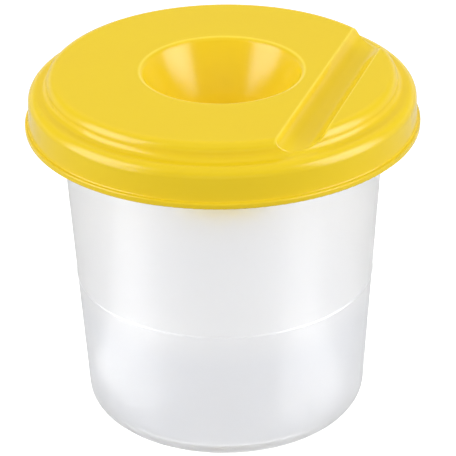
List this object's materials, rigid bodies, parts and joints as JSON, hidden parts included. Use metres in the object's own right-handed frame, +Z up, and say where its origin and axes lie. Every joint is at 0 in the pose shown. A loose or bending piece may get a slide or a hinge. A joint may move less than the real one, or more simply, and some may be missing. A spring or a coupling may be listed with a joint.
{
  "type": "spill-proof paint cup with lid",
  "caption": "Tapered translucent plastic cup with a push-on lid that has a central funnel, open at its end, and a straight groove to rest a brush in.",
  "frame": {"origin": "middle of the cup's base, on the plane that it stands on", "axes": "+Z up along the axis of the cup and the lid, +X towards the side of the lid that carries the brush groove, which runs along Y"},
  "size_m": [0.085, 0.085, 0.079],
  "materials": {
    "translucent_plastic": "milky translucent polypropylene, smooth inside and out",
    "yellow_plastic": "opaque yellow polypropylene, satin gloss"
  },
  "bodies": {
    "cup": {"cup": "translucent_plastic"},
    "lid": {"lid": "yellow_plastic"}
  },
  "joints": [
    {"name": "lid_lift", "type": "slide", "parent": "cup", "child": "lid", "axis": [0, 0, 1], "range_m": [0, 0.05]}
  ]
}
